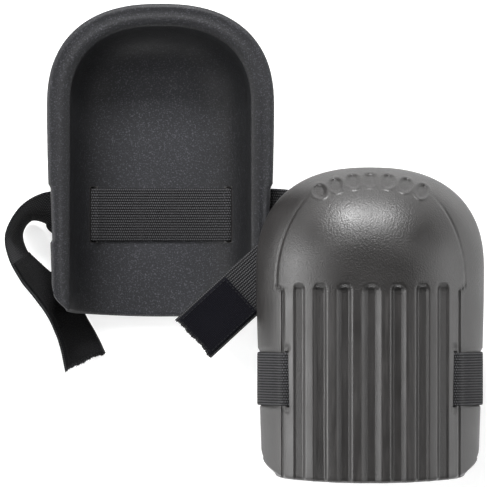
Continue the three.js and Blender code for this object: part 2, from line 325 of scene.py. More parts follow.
@dataclass
class Paints:
    """Makes each finish's material once, and hands it out."""

    made: dict[str, bpy.types.Material] = field(default_factory=dict)
    groups: dict[str, bpy.types.NodeTree] = field(default_factory=dict)

    def group(self, name: str, build: Callable[[], bpy.types.NodeTree]) -> bpy.types.NodeTree:
        """Return a shared node group, built the first time it is asked for.

        Args:
            name: the group's name.
            build: makes the group.

        Returns:
            The node group.
        """
        if name not in self.groups:
            self.groups[name] = build()
        return self.groups[name]

    def of(self, finish: Finish) -> bpy.types.Material:
        """Return a finish's material, built the first time it is asked for.

        Args:
            finish: the finish.

        Returns:
            The material.
        """
        if finish.name not in self.made:
            material = bpy.data.materials.new(finish.name)
            material.use_nodes = True
            material.node_tree.nodes.clear()
            nodes = Nodes(material.node_tree)
            shader = nodes.add("ShaderNodeBsdfPrincipled")
            shader.inputs["Roughness"].default_value = finish.roughness
            shader.inputs["Specular IOR Level"].default_value = finish.specular
            shader.inputs["Sheen Weight"].default_value = finish.sheen
            shader.inputs["Base Color"].default_value = (*finish.colour, 1.0)
            output = nodes.add("ShaderNodeOutputMaterial")
            nodes.link(shader.outputs["BSDF"], output.inputs["Surface"])
            self.dress(nodes, shader, finish)
            self.made[finish.name] = material
        return self.made[finish.name]

    def dress(self, nodes: Nodes, shader: bpy.types.Node, finish: Finish) -> None:
        """Add a finish's pattern to its shader.

        Args:
            nodes: the material's nodes.
            shader: the main shader.
            finish: the finish.
        """
        if finish.surface is Surface.SKIN:
            self.skin(nodes, shader, finish)
        elif finish.surface is Surface.LINING:
            self.lining(nodes, shader, finish)
        elif finish.surface in (Surface.ELASTIC, Surface.THREAD):
            self.woven(nodes, shader, finish)
        elif finish.surface in (Surface.HOOK, Surface.LOOP):
            self.pile(nodes, shader, finish)
        else:
            shader.inputs["Emission Color"].default_value = (1.0, 1.0, 1.0, 1.0)
            shader.inputs["Emission Strength"].default_value = 0.62

    def grain(self, nodes: Nodes, size: float) -> bpy.types.Node:
        """Place the skin grain on object coordinates.

        Args:
            nodes: the material's nodes.
            size: the grain's scale.

        Returns:
            The group's node.
        """
        node = nodes.add("ShaderNodeGroup", node_tree=self.group("grain", grain_group))
        node.inputs["Size"].default_value = size
        nodes.link(nodes.add("ShaderNodeTexCoord").outputs["Object"], node.inputs["Vector"])
        return node

    def skin(self, nodes: Nodes, shader: bpy.types.Node, finish: Finish) -> None:
        """Moulded foam skin: satin, with a fine grain and, on the fluted field, lengthwise streaks, which are
        fainter in the flute floors as painted shade.

        Args:
            nodes: the material's nodes.
            shader: the main shader.
            finish: the finish.
        """
        fluted = nodes.attribute("fluted")
        grain = self.grain(nodes, 820.0)
        dark, pale = ([c * share for c in finish.colour] for share in (0.85, 1.15))
        base = nodes.mix(grain.outputs["Cloud"], dark, pale)
        base = nodes.mix(nodes.math("MULTIPLY", grain.outputs["Speckle"], 0.3), base, finish.accent)
        # the pale streaks are the mould's own; the fluted share, halved in the flute floors, makes them
        # fainter there, which paints shade in the floors
        lines = nodes.math("MULTIPLY", fluted, self.streaks(nodes))
        nodes.link(nodes.mix(lines, base, [c * 1.3 for c in finish.accent]), shader.inputs["Base Color"])
        rough = nodes.span(grain.outputs["Cloud"], 0.0, 1.0, finish.roughness - 0.04, finish.roughness + 0.06)
        nodes.link(nodes.math("ADD", rough, nodes.math("MULTIPLY", lines, 0.10)), shader.inputs["Roughness"])
        plain = nodes.math("SUBTRACT", 1.0, nodes.math("MULTIPLY", fluted, 0.7))
        height = nodes.math("MULTIPLY", grain.outputs["Height"], plain)
        nodes.link(nodes.bump(height, 0.00023, 0.8), shader.inputs["Normal"])

    def lining(self, nodes: Nodes, shader: bpy.types.Node, finish: Finish) -> None:
        """The hollow's face and the rim: matte and bluish, speckled with paler points, with painted light on
        the hollow's floor and painted shade on its walls and at the rim's inner edge.

        Args:
            nodes: the material's nodes.
            shader: the main shader.
            finish: the finish.
        """
        hollow = nodes.attribute("hollow")
        grain = self.grain(nodes, 820.0)
        dark, pale = ([c * share for c in finish.accent] for share in (0.85, 1.05))
        cool = nodes.mix(grain.outputs["Cloud"], dark, pale)
        # painted light and shade: the dark colour on the walls and at the rim's inner edge, the paler accent
        # on the hollow's floor
        base = nodes.mix(nodes.span(hollow, 0.35, 1.0), finish.colour, cool)
        # the paler points show most on the floor, where the light is painted
        speckle = nodes.math("MULTIPLY", grain.outputs["Speckle"], hollow)
        nodes.link(nodes.mix(speckle, base, [c * 4.0 for c in finish.accent]), shader.inputs["Base Color"])
        rough = nodes.span(grain.outputs["Cloud"], 0.0, 1.0, finish.roughness - 0.04, finish.roughness + 0.06)
        nodes.link(rough, shader.inputs["Roughness"])
        nodes.link(nodes.bump(grain.outputs["Height"], 0.00018, 0.8), shader.inputs["Normal"])

    def streaks(self, nodes: Nodes) -> bpy.types.NodeSocket:
        """Fine lengthwise streaks that the mould leaves along the flutes.

        Args:
            nodes: the material's nodes.

        Returns:
            The strength of the streaks.
        """
        split = nodes.add("ShaderNodeSeparateXYZ")
        nodes.link(nodes.add("ShaderNodeTexCoord").outputs["Object"], split.inputs[0])
        join = nodes.add("ShaderNodeCombineXYZ")
        nodes.link(split.outputs["X"], join.inputs["X"])
        nodes.link(nodes.math("MULTIPLY", split.outputs["Y"], 0.06), join.inputs["Y"])
        nodes.link(split.outputs["Z"], join.inputs["Z"])
        noise = nodes.add("ShaderNodeTexNoise", Scale=520.0, Detail=4.0, Roughness=0.6)
        nodes.link(join.outputs[0], noise.inputs["Vector"])
        return nodes.span(noise.outputs["Fac"], 0.45, 0.75)

    def woven(self, nodes: Nodes, shader: bpy.types.Node, finish: Finish) -> None:
        """Ribbed elastic: picks between the ribs, with painted light on the rib and pick tops, painted shade
        in the grooves and pale flecks of painted glints in its colour.

        Args:
            nodes: the material's nodes.
            shader: the main shader.
            finish: the finish.
        """
        weave = nodes.add("ShaderNodeGroup", node_tree=self.group("weave", weave_group))
        weave.inputs["Pitch"].default_value = RIB_PITCH
        nodes.link(nodes.attribute("across"), weave.inputs["Across"])
        nodes.link(nodes.attribute("along"), weave.inputs["Along"])
        grain = self.grain(nodes, 900.0)
        # painted light and shade: the weave's tops lighter, its grooves darker
        raised = nodes.math("POWER", weave.outputs["Shade"], 2.2)
        base = nodes.mix(raised, [c * 0.5 for c in finish.colour], [c * 1.7 for c in finish.accent])
        # painted glints: pale flecks on the fibres
        glint_flecks = nodes.math("MULTIPLY", grain.outputs["Speckle"], 0.35)
        nodes.link(nodes.mix(glint_flecks, base, [c * 1.6 for c in finish.accent]), shader.inputs["Base Color"])
        nodes.link(nodes.span(weave.outputs["Shade"], 0, 1, finish.roughness + 0.15, finish.roughness - 0.08),
                   shader.inputs["Roughness"])
        nodes.link(nodes.bump(weave.outputs["Height"], 0.00045, 0.9), shader.inputs["Normal"])

    def pile(self, nodes: Nodes, shader: bpy.types.Node, finish: Finish) -> None:
        """Hook or loop tape: a nubbly face with a painted highlight that makes it paler at the tips.

        Args:
            nodes: the material's nodes.
            shader: the main shader.
            finish: the finish.
        """
        grain = self.grain(nodes, 1500.0)
        base = nodes.mix(grain.outputs["Speckle"], finish.colour, finish.accent)
        # painted highlight: the pile's tips paler
        nodes.link(nodes.mix(nodes.attribute("tip"), base, [c * 1.5 for c in finish.accent]),
                   shader.inputs["Base Color"])
        rough = nodes.span(grain.outputs["Cloud"], 0, 1, finish.roughness - 0.06, finish.roughness + 0.04)
        nodes.link(rough, shader.inputs["Roughness"])
        nodes.link(nodes.bump(grain.outputs["Height"], 0.0004, 0.9), shader.inputs["Normal"])


RIB_PITCH = 1.9


# ---------------------------------------------------------------- mesh helpers


def sheet_grid(columns: int, rows: int, *layers: str) -> tuple[bmesh.types.BMesh, list[GridPoint]]:
    """Start a piece as a flat grid.

    Args:
        columns: the number of cells along the first parameter.
        rows: the number of cells along the second parameter.
        layers: the names of the number attributes that it carries.

    Returns:
        The mesh, and each vertex with its two parameters from 0 to 1.
    """
    mesh = bmesh.new()
    for name in layers:
        mesh.verts.layers.float.new(name)
    bmesh.ops.create_grid(mesh, x_segments=columns, y_segments=rows, size=0.5)
    mesh.verts.ensure_lookup_table()
    return mesh, [(v, v.co.x + 0.5, v.co.y + 0.5) for v in mesh.verts]


def closed(mesh: bmesh.types.BMesh, facing: Vector | None = None, distance: float = 0.002) -> None:
    """Merge a mesh's doubles, fill its open ends, and turn its faces outward.

    Args:
        mesh: the mesh, in millimetres.
        facing: the direction that one hollowed end faces, or None for plain ends.
        distance: how close two vertices are merged.
    """
    bmesh.ops.remove_doubles(mesh, verts=mesh.verts, dist=distance)
    bmesh.ops.dissolve_degenerate(mesh, dist=distance / 2, edges=mesh.edges)
    edges = [e for e in mesh.edges if e.is_boundary]
    if facing is not None:
        bmesh.ops.triangle_fill(mesh, use_beauty=True, edges=edges, normal=facing)
    elif edges:
        filled = bmesh.ops.holes_fill(mesh, edges=edges, sides=0)
        bmesh.ops.triangulate(mesh, faces=filled["faces"])
    bmesh.ops.recalc_face_normals(mesh, faces=mesh.faces)


def finished(name: str, mesh: bmesh.types.BMesh, finish: Finish, paints: Paints,
             place: Matrix = Matrix.Identity(4)) -> bpy.types.Object:
    """Turn a mesh in millimetres into a smooth, placed and painted object.

    Args:
        name: the piece's name.
        mesh: the mesh, which is freed.
        finish: the piece's finish.
        paints: the materials.
        place: where the mesh's own frame lies, in millimetres.

    Returns:
        The object, at the origin, with its place in its mesh.
    """
    mesh.transform(Matrix.Scale(MM, 4) @ place)
    data = bpy.data.meshes.new(name)
    for face in mesh.faces:
        face.smooth = True
    mesh.to_mesh(data)
    mesh.free()
    data.materials.append(paints.of(finish))
    piece = bpy.data.objects.new(name, data)
    bpy.context.scene.collection.objects.link(piece)
    return piece


def cut_with(piece: bpy.types.Object, cutter: bpy.types.Object) -> None:
    """Cut one object out of another, and remove the cutter.

    Args:
        piece: the object that is cut.
        cutter: the object that cuts.
    """
    modifier = piece.modifiers.new("slots", "BOOLEAN")
    modifier.object = cutter
    modifier.operation = "DIFFERENCE"
    modifier.solver = "EXACT"
    depsgraph = bpy.context.evaluated_depsgraph_get()
    data = bpy.data.meshes.new_from_object(piece.evaluated_get(depsgraph))
    piece.modifiers.clear()
    old = piece.data
    piece.data = data
    bpy.data.meshes.remove(old)
    bpy.data.objects.remove(cutter)


# ---------------------------------------------------------------- shell

END_ROWS = 5


@dataclass
class ShellForm:
    """The moulded shell's sizes and its surfaces, in its own frame.

    x is across, y runs from the open shin end to the top, and z from the rim to the dome.
    """

    length: float = 226.0
    width: float = 164.0
    end_width: float = 157.0
    end_corner: float = 20.0
    end_round: float = 2.6
    arch_height: float = 74.0
    arch_power: float = 2.4
    dome_height: float = 57.5
    cap_rise: float = 2.5
    cap_step: float = 1.7
    cap_width: float = 134.0
    cap_height: float = 82.0
    hollow_depth: float = 46.0
    hollow_width: float = 130.0
    top_band: float = 16.5
    rim_lip: float = 3.0
    flute_length: float = 137.8
    flute_depth: float = 3.4
    flute_floor: float = 2.7
    field_inset: float = 4.6
    press: float = 1.5
    crease_depth: float = 1.9
    end_bow: float = 4.5
    flute_spread: float = 74.7
    flute_angle: float = 0.2533
    last_flute: int = 4
    strap_up: float = 74.0
    slot_inside: float = 48.0
    slot_outside: float = 58.68
    slot_rise: float = 2.5
    slot_wide: float = 40.4
    slot_tall: float = 4.0
    oval_count: int = 7

    @property
    def arch_base(self) -> float:
        """Where the top arch starts."""
        return self.length - self.arch_height

    @property
    def floor_up(self) -> float:
        """The shell's whole height."""
        return self.dome_height + self.cap_rise

    @property
    def slot_start(self) -> float:
        """The height of the slot's line at its inner mouth."""
        return self.hollow_at(self.slot_inside / (self.hollow_width / 2)) - 1

    def dome_at(self, s: float) -> float:
        """Height of the outside, from 0 on the middle line to 1 at the rim's outer edge."""
        return self.rim_lip + (self.dome_height - self.rim_lip) * max(1 - s**3, 0.0) ** (1 / 1.2)

    def hollow_at(self, t: float) -> float:
        """Height of the hollow's face, from 0 on the middle line to 1 at the rim's inner edge."""
        return self.rim_lip + (self.hollow_depth - self.rim_lip) * max(1 - t**4, 0.0) ** (1 / 1.6)

    def half_at(self, y: float) -> float:
        """Half of the shell's width at a distance from the open end."""
        return self.end_width / 2 + (self.width - self.end_width) / 2 * smooth(y / self.arch_base)

    def flank_drop(self, y: float) -> float:
        """How far the strap presses the foam in along the flank, at a distance from the open end."""
        return self.press * smooth((self.slot_wide / 2 + 2.0 - abs(y - self.strap_up)) / 3.0)

    def raised_at(self, x: float, y: float) -> float:
        """Rise of the cap and the fluted field over the flanks.

        Args:
            x: the distance to the right of the middle.
            y: the distance up from the open end.

        Returns:
            The rise.
        """
        up = max(y - (self.flute_length + 6), 0.0) / self.cap_height
        half = self.cap_width / 2 * math.sqrt(max(1 - up * up, 0.0))
        half -= self.field_inset * smooth((self.flute_length + 3 - y) / 4)
        inside = smooth((half - abs(x)) / self.cap_step + 0.5)
        return self.cap_rise * max(inside, smooth((up - 0.1) / 0.8))

    def flute_at(self, x: float, y: float) -> float:
        """Depth of a flute: a nearly level floor between steep walls, with a low arch at its top.

        Args:
            x: the distance to the right of the middle.
            y: the distance up from the open end.

        Returns:
            The depth.
        """
        across = abs(x)
        number = round(math.asin(min(across / self.flute_spread, 1.0)) / self.flute_angle)
        if number >= self.last_flute or y > self.flute_length + 8:
            return 0.0
        middle = self.flute_spread * math.sin(number * self.flute_angle)
        half_width = self.half_at(y)
        past = across - middle
        inner = past < 0
        lean = (self.dome_at((middle + 1) / half_width) - self.dome_at(max(middle - 1, 0) / half_width)) / 2
        rise = self.dome_at(across / half_width) - self.dome_at(middle / half_width)
        deep = self.flute_depth - 0.15 * number
        wall = max(abs(past) - self.flute_floor, 0.0)
        steep = 0.78 + (0.6 * number if inner else 0.0)
        depth = rise + deep - 0.45 * lean * past - steep * wall
        depth = 0.5 * (depth + math.hypot(depth, 0.5)) - 0.03
        reach = self.flute_floor + deep / 0.78
        arch = self.flute_length + 3.9 * math.sqrt(max(1 - (past / reach) ** 2, 0.0))
        return max(depth, 0.0) * smooth((arch - y) / 1.7)

    def crease_at(self, x: float, y: float) -> float:
        """How much a place lies in the narrow crease round the fluted field and the cap, from 0 to 1.

        Args:
            x: the distance to the right of the middle.
            y: the distance up from the open end.

        Returns:
            The share.
        """
        up = max(y - (self.flute_length + 6), 0.0) / self.cap_height
        half = self.cap_width / 2 * math.sqrt(max(1 - up * up, 0.0))
        half -= self.field_inset * smooth((self.flute_length + 3 - y) / 4)
        strong = 1.0 if y < self.flute_length + 3 else 0.5 * smooth((0.8 - up) / 0.3)
        return strong * smooth(1 - abs(half + 0.7 - abs(x)) / 1.3)

    def oval_at(self, x: float, y: float) -> float:
        """Depth of the plain ovals pressed in a row along the top arch, each with a raised lip.

        Args:
            x: the distance to the right of the middle.
            y: the distance up from the open end.

        Returns:
            The depth, less than 0 on a lip.
        """
        radius, pitch, deep = 89.0, 12.6, 3.0
        middle = self.length - 9.5 - radius
        along = math.atan2(x, y - middle) * radius
        number = round(along / pitch)
        if abs(number) > self.oval_count // 2:
            return 0.0
        out = math.hypot(x, y - middle) - radius
        d = math.hypot((along - number * pitch) / 4.9, out / 5.4)
        return deep * smooth((1.0 - d) / 0.3) - 0.9 * smooth(1 - abs(d - 1.12) / 0.2)

    def notch_at(self, x: float, y: float) -> float:
        """Depth of the small notches over and under each slot's outer mouth.

        Args:
            x: the distance to the right of the middle.
            y: the distance up from the open end.

        Returns:
            The depth.
        """
        from_end = abs(abs(y - self.strap_up) - self.slot_wide / 2 - 2.0)
        d = math.hypot((abs(x) - self.slot_outside - 1.5) / 3.4, from_end / 3.6)
        return 2.4 * smooth(1.0 - d)

    def outer_at(self, x: float, y: float, s: float) -> float:
        """Height of the whole outside at a place.

        Args:
            x: the distance to the right of the middle.
            y: the distance up from the open end.
            s: the share of the way from the middle to the edge.

        Returns:
            The height.
        """
        edge = 1 - smooth((s - 0.86) / 0.14)
        shape = self.raised_at(x, y) - self.flute_at(x, y)
        shape -= self.crease_depth * self.crease_at(x, y)
        return self.dome_at(s) + shape * edge - self.notch_at(x, y) - self.oval_at(x, y)

    def spoke_y(self, share: float, rows: int) -> float:
        """Place of a leg's row, with close rows where the open end is rounded.

        Args:
            share: the share of the way up the leg.
            rows: the number of rows in the leg.

        Returns:
            The distance up from the open end.
        """
        row = share * rows
        if row <= END_ROWS:
            return self.end_round * (1 - math.cos(math.pi / 2 * row / END_ROWS))
        return self.end_round + (self.arch_base - self.end_round) * (row - END_ROWS) / (rows - END_ROWS)

    def plan(self, u: float, share: float, hollow: bool, legs: int, total: int) -> tuple[float, float]:
        """Place in plan of a point on a spoke.

        Args:
            u: which spoke, from 0 at the right of the open end, round the arch, to 1 at its left.
            share: how far out along the spoke.
            hollow: whether the spoke ends at the rim's inner edge.
            legs: the number of spokes up one side.
            total: the number of all spokes.

        Returns:
            x and y.
        """
        leg = legs / total
        if leg <= u <= 1 - leg:
            angle = math.pi * (u - leg) / (1 - 2 * leg)
            half = self.hollow_width / 2 if hollow else self.width / 2
            tall = self.arch_height - (self.top_band if hollow else 0.0)
            c, s = math.cos(angle), max(math.sin(angle), 0.0)
            x = math.copysign(half * abs(c) ** (2 / self.arch_power), c)
            return share * x, self.arch_base + share * tall * s ** (2 / self.arch_power)
        side, along = (1, u / leg) if u < leg else (-1, (1 - u) / leg)
        y = self.spoke_y(along, legs)
        outer = self.half_at(y) - self.flank_drop(y) * smooth((share - 0.7) / 0.2)
        half = self.hollow_width / 2 if hollow else outer
        x = side * share * half
        return x, self.bowed(x, y)

    def bowed(self, x: float, y: float) -> float:
        """Move a leg's place up where the open end bows away and its corners are round.

        Args:
            x: the distance to the right of the middle.
            y: the distance up from the open end.

        Returns:
            The moved distance up from the open end.
        """
        past = abs(x) - (self.end_width / 2 - self.end_corner)
        bow = self.end_bow * (x / (self.end_width / 2)) ** 2
        if past > 0:
            bow += self.end_corner - math.sqrt(max(self.end_corner**2 - past**2, 0.0))
        return y + bow * max(1 - y / 70.0, 0.0) ** 2


@dataclass
class Shell:
    """One foam shell, as a fine mesh."""

    name: str
    node: str
    body: str
    place: Matrix
    form: ShellForm
    legs: int = 96
    arch: int = 168
    outside: int = 150
    rim: int = 20
    inside: int = 44

    def point(self, u: float, v: float) -> tuple[Vector, float, float]:
        """Place of a point of the closed skin.

        Args:
            u: which spoke, from 0 to 1.
            v: how far along the skin, over the dome, round the rim and back inside the hollow.

        Returns:
            The point; its lining share, 0 outside and above 0.3 on the rim and in the hollow, which also
            paints the lining's light and shade, darkest at the rim's inner edge and on the walls and lightest
            on the hollow's floor; and how much it belongs to the fluted field, halved in the flute floors,
            which paints shade there.
        """
        form, total = self.form, 2 * self.legs + self.arch
        step = v * (self.outside + self.rim + self.inside)
        if step <= self.outside:
            s = step / self.outside
            x, y = form.plan(u, s, False, self.legs, total)
            low = form.flute_at(x, y) / form.flute_depth
            fluted = smooth((form.flute_length - y) / 6)
            # painted shade: the fluted share is halved in the flute floors, so their pale streaks are fainter
            return Vector((x, y, form.outer_at(x, y, s))), 0.0, fluted * (1 - 0.5 * min(low, 1.0))
        if step >= self.outside + self.rim:
            t = 1 - (step - self.outside - self.rim) / self.inside
            x, y = form.plan(u, t, True, self.legs, total)
            # painted light and shade: the lining share rises from 0.35 on the hollow's walls to 1 on its
            # floor
            return Vector((x, y, form.hollow_at(t))), 0.35 + 0.65 * smooth((0.98 - t) / 0.8), 0.0
        w = (step - self.outside) / self.rim
        outer = Vector((*form.plan(u, 1.0, False, self.legs, total), form.rim_lip))
        inner = Vector((*form.plan(u, 1.0, True, self.legs, total), form.rim_lip))
        band = max((outer - inner).length, 1.0)
        round_share = (form.rim_lip / band, 2.2 * form.rim_lip / band)
        place = outer.lerp(inner, self.rim_across(w, round_share))
        leg = self.legs / total
        if not leg <= u <= 1 - leg:
            place.y = form.bowed(place.x, form.spoke_y(min(u, 1 - u) / leg, self.legs))
        place.z = form.rim_lip * (1 - self.rim_height(w))
        # painted shade: the lining share falls from 0.66 to 0.35 towards the rim's inner edge
        return place, 0.66 - 0.31 * smooth(w * 2 - 1), 0.0

    @staticmethod
    def rim_across(w: float, corners: tuple[float, float]) -> float:
        """Share of the way across the rim band, with a tight outer corner and a soft inner one.

        Args:
            w: the share of the way round the rim.
            corners: the outer and the inner corner.

        Returns:
            The share.
        """
        outer, inner = corners
        if w < 0.25:
            return outer * (1 - math.cos(math.pi / 2 * w / 0.25))
        if w > 0.65:
            return 1 - inner * (1 - math.cos(math.pi / 2 * (1 - w) / 0.35))
        return outer + (1 - outer - inner) * (w - 0.25) / 0.4

    @staticmethod
    def rim_height(w: float) -> float:
        """Share of the lip's height reached at a place across the rim, a little lower in the middle.

        Args:
            w: the share of the way across the rim.

        Returns:
            The share.
        """
        if w < 0.25:
            return math.sin(math.pi / 2 * w / 0.25)
        if w > 0.65:
            return math.sin(math.pi / 2 * (1 - w) / 0.35)
        return 1 - 0.16 * math.sin(math.pi * (w - 0.25) / 0.4)

    def rounded_end(self, u: float, v: float, place: Vector) -> Vector:
        """Draw the skin inward near the open end, which rounds the end's edges.

        Args:
            u: the place along the outline.
            v: the place from the outside to the inside.
            place: the place on the skin.

        Returns:
            The moved place.
        """
        row = min(u, 1 - u) * (2 * self.legs + self.arch)
        if row >= END_ROWS:
            return place
        tiny = 0.25 / (self.outside + self.rim + self.inside)
        tangent = self.point(u, min(v + tiny, 1.0))[0] - self.point(u, max(v - tiny, 0.0))[0]
        inward = Vector((tangent.z, 0.0, -tangent.x)) * (1 if u < 0.5 else -1)
        if inward.length < 1e-6:
            return place
        draw = self.form.end_round * (1 - math.sin(math.pi / 2 * row / END_ROWS))
        return place + inward.normalized() * draw

    def build(self, paints: Paints) -> bpy.types.Object:
        """Args:
            paints: the materials.

        Returns:
            The shell's object.
        """
        rows = self.outside + self.rim + self.inside
        mesh, grid = sheet_grid(2 * self.legs + self.arch, rows, "hollow", "fluted")
        hollow, fluted = (mesh.verts.layers.float[name] for name in ("hollow", "fluted"))
        for vert, u, v in grid:
            place, vert[hollow], vert[fluted] = self.point(u, v)
            vert.co = self.rounded_end(u, v, place)
        closed(mesh, facing=Vector((0, -1, 0)))
        shell = finished(self.name, mesh, SKIN, paints, self.place)
        cut_with(shell, self.slot_cutter(paints))
        self.line(shell.data, paints)
        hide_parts(self.node)
        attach(shell, self.body)
        return shell

    @staticmethod
    def line(data: bpy.types.Mesh, paints: Paints) -> None:
        """Give the rim and the hollow their own finish, and shade every face smooth.

        Args:
            data: the shell's mesh.
            paints: the materials.
        """
        data.materials.append(paints.of(LINING))
        hollow = data.attributes["hollow"].data
        for polygon in data.polygons:
            polygon.use_smooth = True
            inside = min(hollow[index].value for index in polygon.vertices)
            polygon.material_index = 1 if inside > 0.3 else 0

    def slot_cutter(self, paints: Paints) -> bpy.types.Object:
        """Build the two bars, rounded at their edges, that cut the strap's slots.

        Args:
            paints: the materials.

        Returns:
            The cutter.
        """
        form = self.form
        mesh = bmesh.new()
        deep = form.slot_outside - form.slot_inside
        for side in (-1, 1):
            low, high = (Vector((side * (form.slot_inside + past * deep), form.strap_up,
                                 form.slot_start + past * form.slot_rise)) for past in (-0.25, 1.45))
            run = high - low
            turn = Matrix.Rotation(-math.atan2(run.z, run.x), 4, "Y")
            size = Matrix.Diagonal((run.length, form.slot_wide, form.slot_tall, 1))
            middle = Matrix.Translation((low + high) / 2)
            bar = bmesh.ops.create_cube(mesh, size=1.0, matrix=middle @ turn @ size)
            edges = {e for v in bar["verts"] for e in v.link_edges}
            bmesh.ops.bevel(mesh, geom=list(edges), offset=0.9, affect="EDGES", segments=3, profile=0.5,
                            material=-1)
        bmesh.ops.recalc_face_normals(mesh, faces=mesh.faces)
        return finished("slot_cutter", mesh, SKIN, paints, self.place)


# ---------------------------------------------------------------- straps


@dataclass(frozen=True)
class Station:
    """A place on a strap's middle line, with the directions along, across and out of its face."""

    at: Vector
    along: Vector
    across: Vector
    run: float

    @property
    def face(self) -> Vector:
        """The direction out of the strap's face."""
        return self.along.cross(self.across)


def curve_point(points: Sequence[Vector], t: float) -> Vector:
    """Place on a smooth centripetal curve through points.

    Args:
        points: the points that the curve passes.
        t: from 0 at the first point to 1 at the last.

    Returns:
        The place.
    """
    whole = min(max(t, 0.0), 1.0) * (len(points) - 1)
    i = min(int(whole), len(points) - 2)
    f = whole - i
    p1, p2 = points[i], points[i + 1]
    p0 = points[i - 1] if i > 0 else p1 * 2 - p2
    p3 = points[i + 2] if i + 2 < len(points) else p2 * 2 - p1
    d0, d1, d2 = (max((b - a).length, 1e-6) ** 0.5 for a, b in ((p0, p1), (p1, p2), (p2, p3)))
    start = ((p1 - p0) / d0 - (p2 - p0) / (d0 + d1) + (p2 - p1) / d1) * d1
    end = ((p2 - p1) / d1 - (p3 - p1) / (d1 + d2) + (p3 - p2) / d2) * d1
    a = p1 * 2 - p2 * 2 + start + end
    b = p2 * 3 - p1 * 3 - start * 2 - end
    return a * f**3 + b * f**2 + start * f + p1


@dataclass
class Route:
    """A strap's middle line through chosen places, each with the strap's width direction."""

    places: list[tuple[Vector, Vector]]
    step: float = 2.0

    def stations(self) -> list[Station]:
        """Return stations at even steps along the line.

        Returns:
            The stations, from the start to the end.
        """
        points = [p for p, _ in self.places]
        wides = [w for _, w in self.places]
        fine = 40 * len(points)
        samples = [(curve_point(points, i / fine), curve_point(wides, i / fine)) for i in range(fine + 1)]
        runs = [0.0]
        for (a, _), (b, _) in zip(samples, samples[1:]):
            runs.append(runs[-1] + (b - a).length)
        count = max(round(runs[-1] / self.step), 2)
        found, k = [], 0
        for i in range(count + 1):
            run = runs[-1] * i / count
            while k + 2 < len(runs) and runs[k + 1] < run:
                k += 1
            share = (run - runs[k]) / max(runs[k + 1] - runs[k], 1e-9)
            at = samples[k][0].lerp(samples[k + 1][0], share)
            wide = samples[k][1].lerp(samples[k + 1][1], share)
            along = (samples[min(k + 3, fine)][0] - samples[max(k - 2, 0)][0]).normalized()
            across = (wide - along * wide.dot(along)).normalized()
            found.append(Station(at, along, across, run))
        return found


def ragged(w: float, to_end: float) -> float:
    """How far an uneven heat-cut end stands out of square.

    Args:
        w: the distance across the strap from its middle.
        to_end: the distance back from the end.

    Returns:
        The distance along the strap.
    """
    wave = 0.55 * math.sin(0.31 * w + 0.8) + 0.3 * math.sin(1.13 * w) + 0.18 * math.sin(2.9 * w + 2)
    return (wave - 0.0028 * (19 - abs(w)) ** 2) * smooth(1 - to_end / 9)


def cut_run(stations: list[Station], low: float, high: float) -> list[Station]:
    """Keep the stations between two distances along a strap."""
    return [s for s in stations if low - 1e-6 <= s.run <= high + 1e-6]


@dataclass
class Webbing:
    """A stretch of ribbed elastic strap."""

    name: str
    stations: list[Station]
    width: float = 38.0
    thickness: float = 1.6
    ribs: int = 20
    rib_height: float = 0.2
    frayed: bool = False

    @property
    def length(self) -> float:
        """The strap's length along its middle line."""
        return self.stations[-1].run - self.stations[0].run

    def section(self, p: float) -> tuple[float, float]:
        """Place on the strap's cross-section, across and out of the face, from a share of the way round.

        Args:
            p: the share of the way round.

        Returns:
            The places across and out of the face.
        """
        half, r = self.width / 2, self.thickness / 2 - self.rib_height / 2
        columns = 4 * self.ribs
        step = p * (2 * columns + 8)
        inner = half - r
        if step <= columns:
            w = -1 + 2 * step / columns
            return w * inner, r + self.rib(w)
        if step <= columns + 4:
            turn = math.pi * (step - columns) / 4
            return inner + r * math.sin(turn), r * math.cos(turn)
        if step <= 2 * columns + 4:
            w = 1 - 2 * (step - columns - 4) / columns
            return w * inner, -r - self.rib(w)
        turn = math.pi * (step - 2 * columns - 4) / 4
        return -inner - r * math.sin(turn), -r * math.cos(turn)

    def rib(self, w: float) -> float:
        """Height of the ribs at a place across, where the flat selvedges have none."""
        wave = abs(math.sin(math.pi * (w + 1) / 2 * self.ribs)) ** 0.7
        return self.rib_height * wave * smooth((0.97 - abs(w)) / 0.04)

    def build(self, paints: Paints, place: Matrix) -> bpy.types.Object:
        """Build the strap's mesh.

        Args:
            paints: the materials.
            place: where the pad's frame lies.

        Returns:
            The strap's object.
        """
        rows = len(self.stations) - 1
        mesh, grid = sheet_grid(8 * self.ribs + 8, rows, "across", "along")
        across, along = (mesh.verts.layers.float[name] for name in ("across", "along"))
        for vert, p, v in grid:
            station = self.stations[round(v * rows)]
            w, out = self.section(p)
            vert.co = station.at + station.across * w + station.face * out
            if self.frayed:
                vert.co += station.along * ragged(w, self.stations[-1].run - station.run)
            vert[across], vert[along] = w + self.width / 2, station.run
        closed(mesh)
        if self.frayed:
            self.fray(mesh)
        return finished(self.name, mesh, ELASTIC, paints, place)

    def fray(self, mesh: bmesh.types.BMesh) -> None:
        """Add the short loose threads of a heat-cut end.

        Args:
            mesh: the strap's mesh.
        """
        rng = random.Random(self.name)
        tip = self.stations[-1]
        for i in range(2 * self.ribs):
            w = self.width * ((i + rng.random()) / (2 * self.ribs) - 0.5)
            long = rng.uniform(0.5, 1.9)
            lean = tip.along + tip.face * rng.uniform(-0.5, 0.5) + tip.across * rng.uniform(-0.4, 0.4)
            root = tip.at + tip.across * w + tip.face * rng.uniform(-0.5, 0.5)
            root = root + tip.along * (ragged(w, 0) - 0.2)
            add_spike(mesh, root, lean.normalized(), long, 0.16, 0.07, 4)


